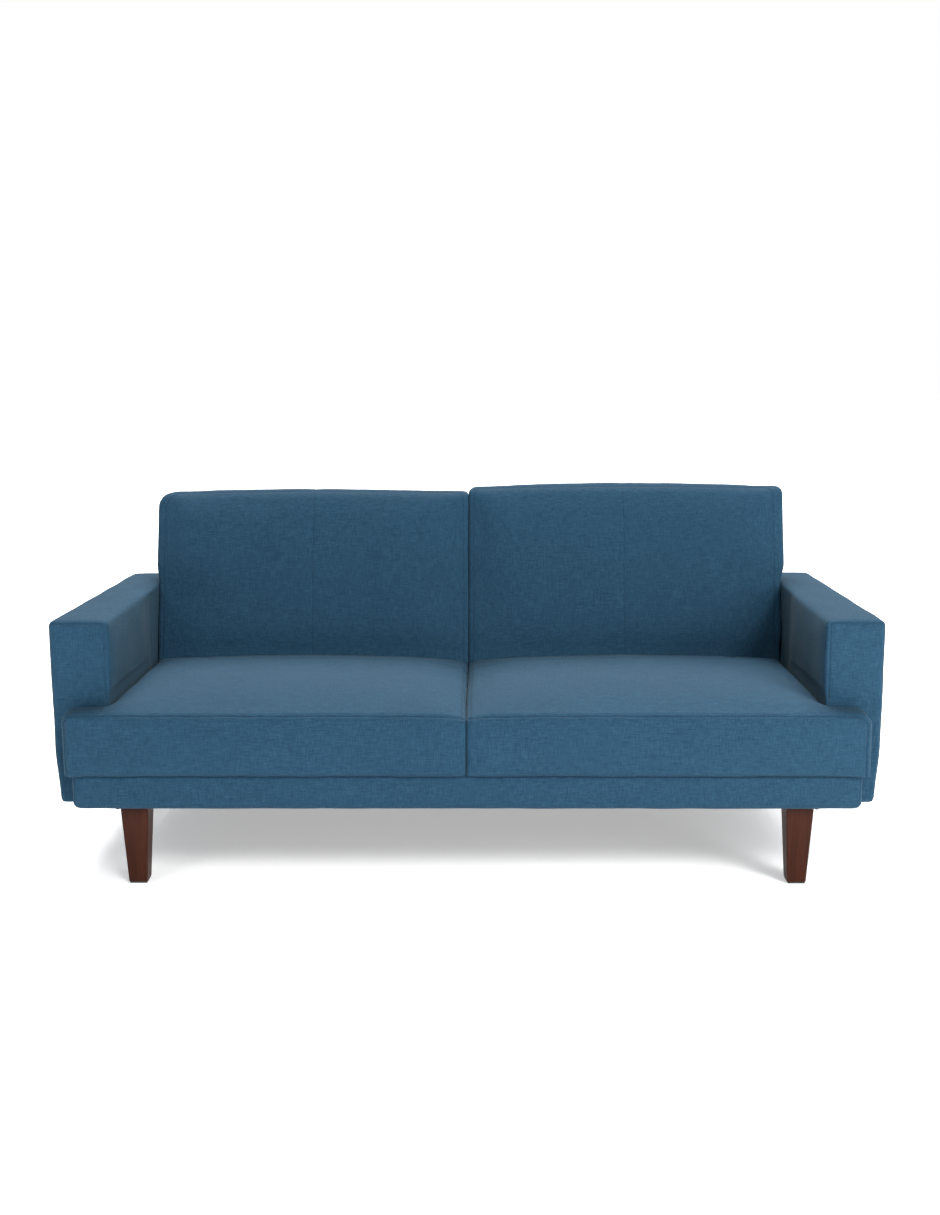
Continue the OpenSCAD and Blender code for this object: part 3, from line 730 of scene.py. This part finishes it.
def seat_caps(co, normal):
    """How far the simulation may move each point of a seat half."""
    top = step(normal[:, 2], 0.3, 0.8)
    front = step(-normal[:, 1], 0.5, 0.9) * step(co[:, 2], SEAT[0].z + 5 * MM, SEAT[0].z + 30 * MM)
    seam = np.exp(-(((co[:, 1] - SEAT[0].y) ** 2 + (co[:, 2] - SEAM_Z) ** 2)
                    / (9 * MM) ** 2))
    cap = 14 * MM * top + 7 * MM * front + 1.5 * MM * (1 - top) * (1 - front)
    cap *= 1 - step(seam, 0.3, 0.8)
    return cap * step(co[:, 2], SEAT[0].z + 2 * MM, SEAT[0].z + 20 * MM)


def seat_seams(end_radius):
    front_x, end_x = SEAT[0].x, SEAT[1].x
    inset = end_radius / 2
    front_path = ([(front_x, SEAM_Z - 9 * MM)]
                  + [(front_x + t, SEAM_Z - 2.5 * MM - 6 * MM * math.exp(-t / 0.045))
                     for t in (0.02, 0.04, 0.07, 0.12, 0.2)]
                  + arc((end_x - inset - end_radius, SEAM_Z - 2.5 * MM - end_radius), end_radius,
                        90, 0, 6)
                  + [(end_x - inset, SEAT[0].z)])
    rear = PIVOT.y - HALF_BACK - 100 * MM + 18 * MM
    outer = ARM_IN - 0.16
    rear_path = ([(front_x, rear)] + arc((outer - 0.03, rear + 0.05), 0.05, 270, 335, 6)
                 + [(outer + 0.05, rear + 0.14)])
    side_path = [(front_x, SEAT[0].y), (front_x, 0.2)]
    return [
        Seam((0, 2), front_path, (0, -1, 0.25), depth=2.2 * MM, width=2.4 * MM,
             within=lambda co: co[:, 1] < SEAT[0].y + 14 * MM),
        Seam((0, 1), rear_path, (0, 0, 1), depth=1.4 * MM, width=2.2 * MM, pull=0.8 * MM,
             within=lambda co: co[:, 2] > SEAM_Z - 20 * MM),
        Seam((0, 1), [(p[0] + 7 * MM, p[1]) for p in side_path], (0, 0, 1), depth=1.0 * MM,
             pull=0.5 * MM, within=lambda co: co[:, 2] > SEAM_Z - 30 * MM),
    ]


def rest_seat(obj):
    """Keeps a seat half off the other half, its arm, its back and the base."""
    confine(obj, (TOUCH, None, SEAT[0].z + 1 * MM), (None, None, None))
    co = points(obj)
    beside = co[:, 1] > WING_BACK + 1 * MM
    co[beside, 0] = np.minimum(co[beside, 0], ARM_IN - 0.8 * MM)
    beyond = co[:, 0] > ARM_IN - 0.8 * MM
    co[beyond, 1] = np.minimum(co[beyond, 1], WING_BACK + 0.8 * MM)
    local = moved(co, LEAN_TURN.inverted())
    plane = -HALF_BACK - SEAT_CLEAR
    over = (local[:, 2] > 0) & (local[:, 1] > plane)
    local[over, 1] = plane
    co[over] = moved(local, LEAN_TURN)[over]
    set_points(obj, co)


# ---------------------------------------------------------------- backs

NOTCH = (32 * MM, 34 * MM)      # width and height of the cut-outs for the hinges
FLAP = 38 * MM                  # depth from the pivot at which a flap hides each cut-out


def back_cover(name, side, outer_radius, inner_radius, extra_height, bow, widening, seed):
    """One back. widening says how far its side bulges outwards, beside the arm and above it."""
    x0, x1 = BACK_LOCAL[0].x, BACK_LOCAL[1].x
    top = BACK_LOCAL[1].z + extra_height - bow
    edge = 28 * MM
    half = HALF_BACK - 4 * MM
    profile = (arc((0, 0), HALF_BACK - 1 * MM, 180, 360, 24)
               + [(half, 60 * MM)] + arc((half - edge, top - edge), edge, 0, 90)
               + arc((-half + edge, top - edge), edge, 90, 180) + [(-half, 60 * MM)])
    body = prism(name, profile, 0, x0 - 0.02, x1 + 0.02)
    front_view = rounded_outline((-SPARE / 4, -0.2), (ARM_IN + SPARE / 2, top),
                                 (1 * MM, 1 * MM, outer_radius, inner_radius))
    combine(body, prism("front_view", front_view, 1, -0.2, 0.2), "INTERSECT")
    for low, high in ((x0 - 0.01, x0 + NOTCH[0]), (x1 - NOTCH[0], x1 + 0.01)):
        notch = prism("notch", [(-0.1, -0.1), (0.1, -0.1), (0.1, NOTCH[1]), (-FLAP, NOTCH[1]),
                                (-FLAP, -5 * MM), (-0.1, -5 * MM)], 0, low, high)
        combine(body, notch, "DIFFERENCE")
    remesh(body, VOXEL)
    relax(body, 3)
    co = points(body)
    middle, half_w = (x0 + x1) / 2, (x1 - x0) / 2
    across = (co[:, 0] - middle) / half_w
    rise = step(co[:, 2], top - 0.16, top - 0.02)
    co[:, 2] += rise * bow * (1 - across ** 2)
    co[:, 0] += step(co[:, 0], middle, x1) * wider(co, widening)
    front = step(-co[:, 1], half - 30 * MM, half)
    upper = np.clip(co[:, 2] / top, 0, 1)
    belly = (1 - across ** 4) * np.clip(4 * upper * (1 - upper), 0, 1) ** 0.7
    co[:, 1] -= front * 8 * MM * belly
    set_points(body, co)
    swell(body, back_caps(co, normals(body)))
    keep_wide(body, co, 15 * MM, x1 - 15 * MM)
    subdivide(body)
    co = points(body)
    co += normals(body) * (0.6 * MM * ripple(co, 0.13, seed))[:, None]
    set_points(body, co)
    sew(body, back_seams(middle, x0, x1, top, outer_radius), seed)
    rest_back(body, widening)
    mirror(body, side)
    body.matrix_world = LEAN_TURN
    finish_piece(body, "upholstery", f"{word(side)}_back", f"back_cushion_{word(side)}")
    return body


def back_caps(co, normal):
    """How far the simulation may move each point of a back: the foot and the notches stay."""
    front = step(-normal[:, 1], 0.4, 0.9) * step(co[:, 2], 40 * MM, 120 * MM)
    upper = step(normal[:, 2], 0.3, 0.9)
    side = step(np.abs(normal[:, 0]), 0.5, 0.9) * step(co[:, 2], 0.2, 0.32)
    cap = 14 * MM * front + 6 * MM * upper + 5 * MM * side
    return cap * step(co[:, 2], 45 * MM, 110 * MM)


def wider(co, widening):
    """How far each point of a back's outer side is moved outwards."""
    beside, above = widening
    return (beside * step(co[:, 2], 0.06, 0.12)
            + (above - beside) * step(co[:, 2], 0.235, 0.29))


def rest_back(obj, widening):
    """Keeps a back off the other back and, where it passes between the arms, off its arm."""
    confine(obj, (TOUCH, None, None), (None, HALF_BACK + 1 * MM, None))
    co = points(obj)
    co[:, 0] = np.minimum(co[:, 0], ARM_IN - TOUCH + wider(co, widening))
    set_points(obj, co)


def back_seams(middle, x0, x1, top, outer_radius):
    face = lambda co: co[:, 1] < 0
    inset = 9 * MM
    border = ([(x0 + inset, NOTCH[1]), (x0 + inset, top - 0.04), (x0 + inset + 6 * MM, top - 0.02),
               (x0 + inset + 0.02, top - 14 * MM), (middle, top - 10 * MM)]
              + arc((x1 - inset - outer_radius, top - 14 * MM - outer_radius), outer_radius,
                    90, 0, 6)
              + [(x1 - inset, NOTCH[1])])
    return [
        Seam((0, 2), [(middle, -0.07), (middle, top + 0.03)], (0, -1, 0.6), depth=0.6 * MM,
             width=1.6 * MM, pull=0.6 * MM, reach=18 * MM),
        Seam((0, 2), border, (0, -1, 0.3), depth=0.8 * MM, width=2.2 * MM, pull=0.4 * MM,
             within=face),
    ]


def back_lining(name, side):
    """Thin lining cloth stretched over the board behind a back."""
    low, high = PANEL_LOCAL
    thick = 2.2 * MM
    columns, rows = 60, 40
    xs = np.linspace(low.x, high.x, columns)
    zs = np.linspace(low.z, high.z, rows)
    verts, faces = [], []
    for layer in (0, 1):
        for z in zs:
            for x in xs:
                edge = min(x - low.x, high.x - x, z - low.z, high.z - z)
                sag = 1.5 * MM * (1 - math.exp(-edge / 0.03))
                verts.append((x, high.y + 1.2 * MM + sag - thick * (1 - layer), z))
    size = columns * rows
    for j in range(rows - 1):
        for i in range(columns - 1):
            a = j * columns + i
            faces.append((a, a + 1, a + columns + 1, a + columns))
            faces.append(tuple(size + k for k in (a, a + columns, a + columns + 1, a + 1)))
    rim = ([i for i in range(columns)] + [j * columns + columns - 1 for j in range(1, rows)]
           + [(rows - 1) * columns + i for i in range(columns - 2, -1, -1)]
           + [j * columns for j in range(rows - 2, 0, -1)])
    for a, b in zip(rim, rim[1:] + rim[:1]):
        faces.append((a, a + size, b + size, b))
    obj = new_object(name, verts, faces)
    mirror(obj, side)
    obj.matrix_world = LEAN_TURN
    finish_piece(obj, "back_lining", f"{word(side)}_back", f"back_panel_{word(side)}")
    return obj


# ---------------------------------------------------------------- arms

ARM_INSET = 1.5 * MM            # how far inside the CAD arm the cover is cut, to swell back out
FOOT_LEAN = 8 * MM              # how far an arm's outer side leans in at the bottom
INNER_FULLNESS = 6 * MM         # how much fuller than the CAD arm the inner side is in front
MOST_FULLNESS = 9 * MM


def arm(name, side, lower_radius, rear_radius, taper, relief, seed):
    """One arm. Its outer side leans in by taper towards the rear; relief clears the back."""
    outline = rounded_outline((ARM_IN + ARM_INSET, ARM[0].z - SPARE),
                              (ARM[1].x - ARM_INSET, ARM[1].z - ARM_INSET),
                              (2 * MM, lower_radius, 12 * MM, 10 * MM))
    body = prism(name, outline, 1, ARM_FRONT - 1 * MM, ARM[1].y - ARM_INSET)
    plan = rounded_outline((ARM_IN - 0.01, ARM_FRONT - 0.01), (ARM[1].x, ARM[1].y - ARM_INSET),
                           (1 * MM, 1 * MM, rear_radius, 6 * MM))
    combine(body, prism("plan", plan, 2, 0, 1), "INTERSECT")
    remesh(body, FINE_VOXEL)
    relax(body, 1)
    co = points(body)
    outward = step(co[:, 0], ARM_IN + 30 * MM, ARM[1].x)
    upper = step(co[:, 2], ARM[0].z, ARM[0].z + 0.13)
    rearward = np.clip((co[:, 1] - ARM_FRONT) / (ARM[1].y - ARM_FRONT), 0, 1)
    co[:, 0] -= outward * (FOOT_LEAN * (1 - upper) + taper * rearward * upper)
    inward = 1 - step(co[:, 0], ARM_IN + 10 * MM, ARM_IN + 50 * MM)
    co[:, 0] -= INNER_FULLNESS * inward * (1 - rearward)
    co[:, 0] += relief * inward * beside_back(co)
    set_points(body, co)
    swell(body, arm_caps(co, normals(body)))
    subdivide(body)
    co = points(body)
    co += normals(body) * (0.4 * MM * ripple(co, 0.12, seed))[:, None]
    set_points(body, co)
    sew(body, arm_seams(), seed)
    rest_arm(body, relief)
    mirror(body, side)
    finish_piece(body, "upholstery", "base", f"arm_cover_{word(side)}")
    return body


def beside_back(co):
    """1 where the upper part of a back passes an arm on its way down, and 0 at the hinge."""
    reach = np.hypot(co[:, 1] - PIVOT.y, co[:, 2] - PIVOT.z)
    return step(co[:, 1], 0.0, 0.1) * step(reach, 0.04, 0.10)


def arm_caps(co, normal):
    top = step(normal[:, 2], 0.4, 0.9)
    inner = step(-normal[:, 0], 0.5, 0.9) * step(co[:, 2], SEAT[1].z - 10 * MM, SEAT[1].z + 50 * MM)
    inner *= 1 - step(co[:, 1], 0.0, 0.1)
    outer = step(normal[:, 0], 0.5, 0.9)
    ends = step(np.abs(normal[:, 1]), 0.5, 0.9)
    cap = 4 * MM * top + 5 * MM * inner + 1.5 * MM * outer + 3 * MM * ends
    return cap * step(co[:, 2], ARM[0].z + 10 * MM, ARM[0].z + 60 * MM)


def arm_seams():
    front_edge = 7 * MM
    inner = ARM_IN + 5 * MM
    path = [(ARM[1].x - 3 * MM, ARM[0].z + 20 * MM), (ARM[1].x - 3 * MM, ARM[1].z - 24 * MM)]
    path += arc((ARM[1].x - 15 * MM, ARM[1].z - front_edge - 12 * MM), 12 * MM, 0, 90, 5)
    path += [(inner + 4 * MM, ARM[1].z - front_edge), (inner, ARM[1].z - front_edge - 5 * MM),
             (inner + 1 * MM, SEAT[1].z)]
    ends = [(0, -1, 0), (0, 1, 0)]
    return [Seam((0, 2), path, facing, depth=1.2 * MM, width=2.2 * MM, pull=0.8 * MM)
            for facing in ends]


def rest_arm(obj, relief):
    """Keeps an arm off the seat, its wing and the reclining back."""
    confine(obj, (None, None, ARM[0].z - 1.5 * MM), (ARM[1].x + 1 * MM, None, None))
    co = points(obj)
    over_seat = MOST_FULLNESS * step(co[:, 2], SEAT[1].z, SEAT[1].z + 40 * MM)
    co[:, 0] = np.maximum(co[:, 0], ARM_IN - over_seat)
    over_frame = ((normals(obj)[:, 0] > 0.4) & (co[:, 2] > ARM_FRAME[0].z - 1.5 * MM)
                  & (co[:, 1] < ARM_FRAME[1].y + 1.5 * MM) & (co[:, 2] < ARM_FRAME[1].z))
    co[over_frame, 0] = np.maximum(co[over_frame, 0], ARM_FRAME[1].x + 1.5 * MM)
    behind_wing = co[:, 2] < SEAT[1].z
    co[behind_wing, 1] = np.maximum(co[behind_wing, 1], ARM_FRONT)
    clear = ARM_IN - MOST_FULLNESS * (1 - step(co[:, 1], 0.0, 0.1)) + relief * beside_back(co)
    co[:, 0] = np.maximum(co[:, 0], clear + 0.2 * MM)
    set_points(obj, co)


# ---------------------------------------------------------------- base covers

def front_rail_cover():
    """The upholstered front rail under the seats, with its rounded lower edge."""
    low, high = APRON[0], APRON[1] + Vector((0, 0, 2 * MM + RAIL_RISE))
    profile = ([(high.y, low.z)] + [(high.y, high.z)] + arc((low.y + 3 * MM, high.z - 3 * MM),
                                                            3 * MM, 90, 180, 4)
               + arc((low.y + 6 * MM, low.z + 6 * MM), 6 * MM, 180, 270))
    body = prism("front_rail_cover", profile, 0, low.x, high.x)
    front_view = rounded_outline((low.x, low.z), (high.x, high.z), (15 * MM, 15 * MM, 3 * MM,
                                                                    3 * MM))
    combine(body, prism("front_view", front_view, 1, low.y - 0.01, high.y + 0.01), "INTERSECT")
    remesh(body, 5 * MM)
    relax(body, 1)
    co = points(body)
    face = step(-normals(body)[:, 1], 0.5, 0.9)
    height = np.clip((co[:, 2] - low.z) / (high.z - low.z), 0, 1)
    co[:, 1] -= face * 3 * MM * 4 * height * (1 - height)
    co += normals(body) * (0.4 * MM * ripple(co, 0.09, 71))[:, None]
    set_points(body, co)
    subdivide(body)
    seams = [Seam((0, 2), [(x, low.z), (x, high.z)], (0, -1, 0), depth=0.8 * MM, pull=0.3 * MM)
             for x in (low.x + 6 * MM, high.x - 6 * MM)]
    sew(body, seams, 72)
    confine(body, (None, None, low.z), (None, high.y, high.z))
    finish_piece(body, "upholstery", "base", "front_apron")
    return body


def rear_rail_cover():
    low, high = REAR_APRON
    outline = rounded_outline((low.y, low.z), (high.y, high.z),
                              (0.5 * MM, 5 * MM, 4 * MM, 0.5 * MM))
    body = prism("rear_rail_cover", outline, 0, low.x, high.x)
    remesh(body, 4 * MM)
    relax(body, 1)
    co = points(body)
    co += normals(body) * (0.3 * MM * ripple(co, 0.08, 81))[:, None]
    set_points(body, co)
    subdivide(body)
    confine(body, tuple(low), (high.x, None, high.z))
    sew(body, [Seam((0, 2), [(low.x, high.z - 8 * MM), (high.x, high.z - 8 * MM)], (0, 1, 0),
                    depth=0.6 * MM, pull=0.2 * MM)], 82)
    finish_piece(body, "upholstery", "base", "rear_apron")
    return body


def make_legs():
    """Square tapered legs with eased edges, one for each CAD leg."""
    for place in ("front_left", "front_right", "rear_left", "rear_right"):
        node = f"leg_{place}"
        low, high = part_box(node)
        centre = (low + high) / 2
        co = points(frame["nodes"][node])
        foot = (co[co[:, 2] < low.z + 1 * MM][:, 0].max() - centre.x) * 2
        top = high.x - low.x
        rows = 12
        verts, faces = [], []
        ring = []
        for j in range(rows + 1):
            t = j / rows
            half = (foot + (top - foot) * t) / 2
            outline = rounded_outline((-half, -half), (half, half), [3.2 * MM] * 4)
            ring = [(centre.x + x, centre.y + y, low.z + (high.z - low.z) * t) for x, y in outline]
            verts += ring
        n = len(ring)
        for j in range(rows):
            for i in range(n):
                k = (i + 1) % n
                faces.append((j * n + i, j * n + k, (j + 1) * n + k, (j + 1) * n + i))
        faces.append(tuple(range(n)))
        faces.append(tuple(range(rows * n, (rows + 1) * n)))
        leg = new_object(f"{place}_wood_leg", verts, faces)
        bevel = leg.modifiers.new("eased", "BEVEL")
        bevel.width = 1.2 * MM
        bevel.segments = 2
        bevel.limit_method = "ANGLE"
        bevel.angle_limit = math.radians(60)
        apply_modifiers(leg)
        finish_piece(leg, "leg_wood", "base", node)
        leg.data.set_sharp_from_angle(angle=math.radians(35))


def dust_cloth():
    """Black cloth stapled under the base, in the shape of the CAD dust cover."""
    source = frame["nodes"]["dust_cover"]
    obj = bpy.data.objects.new("dust_cloth", source.data.copy())
    bpy.context.scene.collection.objects.link(obj)
    finish_piece(obj, "dust_cloth", "base", "dust_cover")
    return obj


# ---------------------------------------------------------------- studio

BACKDROP = 1.0                  # how bright the surroundings look, and how much light they give
AMBIENT = 0.25
FLOOR_GLOW = 0.35               # keeps the shadow under the sofa pale
SUNS = [                        # name, azimuth, elevation, strength, spread in degrees
    ("right_key", 32, 40, 1.9, 20),
    ("left_key", -32, 38, 0.65, 20),
    ("rear_top", 180, 62, 5.4, 35),
]
FILL_POWER = 48                 # watts


def add_light(kind, name, place, target, strength, **settings):
    data = bpy.data.lights.new(name, kind)
    data.energy = strength
    for setting, value in settings.items():
        setattr(data, setting, value)
    light = bpy.data.objects.new(name, data)
    bpy.context.scene.collection.objects.link(light)
    light.location = place
    light.rotation_euler = (Vector(target) - Vector(place)).to_track_quat("-Z", "Y").to_euler()


def make_world(backdrop, ambient):
    """A white backdrop, dimmer as a light than as it is seen."""
    world = bpy.data.worlds.new("studio")
    bpy.context.scene.world = world
    world.use_nodes = True
    tree = world.node_tree
    background = tree.nodes["Background"]
    background.inputs["Color"].default_value = (1, 1, 1, 1)
    seen = tree.nodes.new("ShaderNodeLightPath").outputs["Is Camera Ray"]
    strength = tree.nodes.new("ShaderNodeMapRange")
    tree.links.new(seen, strength.inputs["Value"])
    strength.inputs["To Min"].default_value = ambient
    strength.inputs["To Max"].default_value = backdrop
    tree.links.new(strength.outputs[0], background.inputs["Strength"])


def softbox_at(azimuth, elevation, distance=4.0):
    """A place around the sofa; azimuth is to the right of straight ahead of it."""
    a, e = math.radians(azimuth), math.radians(elevation)
    return (distance * math.cos(e) * math.sin(a), -distance * math.cos(e) * math.cos(a),
            distance * math.sin(e))


def make_studio():
    make_world(BACKDROP, AMBIENT)
    floor = new_object("floor", [(-40, -40, 0), (40, -40, 0), (40, 40, 0), (-40, 40, 0)],
                       [(0, 1, 2, 3)])
    shader = Shader("studio_floor")
    shader.set(color=(0.9, 0.9, 0.9, 1), roughness=0.9, specular=0.1,
               glow=(1, 1, 1, 1), glow_strength=FLOOR_GLOW)
    floor.data.materials.append(shader.material)
    for name, azimuth, elevation, strength, spread in SUNS:
        add_light("SUN", name, softbox_at(azimuth, elevation), (0, 0, 0), strength,
                  angle=math.radians(spread))
    add_light("AREA", "right_fill", (2.3, -2.0, 1.2), (0.6, -0.3, 0.4), FILL_POWER,
              shape="RECTANGLE", size=1.4, size_y=1.2)
    bpy.context.scene.view_settings.view_transform = "Standard"


# ---------------------------------------------------------------- the sofa

make_camera()
make_studio()
dress_cad_nodes()
seat_half("seat_cover_left", -1, 14 * MM, 11)
seat_half("seat_cover_right", 1, 26 * MM, 12)
back_cover("back_cover_left", -1, 50 * MM, 12 * MM, -7 * MM, 7 * MM, (2 * MM, 8 * MM), 21)
back_cover("back_cover_right", 1, 20 * MM, 22 * MM, 8 * MM, 11 * MM, (6 * MM, 16 * MM), 22)
arm("arm_upholstery_left", -1, 14 * MM, 26 * MM, 13 * MM, 2 * MM, 31)
arm("arm_upholstery_right", 1, 16 * MM, 26 * MM, 9 * MM, 6 * MM, 32)
front_rail_cover()
rear_rail_cover()
back_lining("back_lining_left", -1)
back_lining("back_lining_right", 1)
make_legs()
dust_cloth()
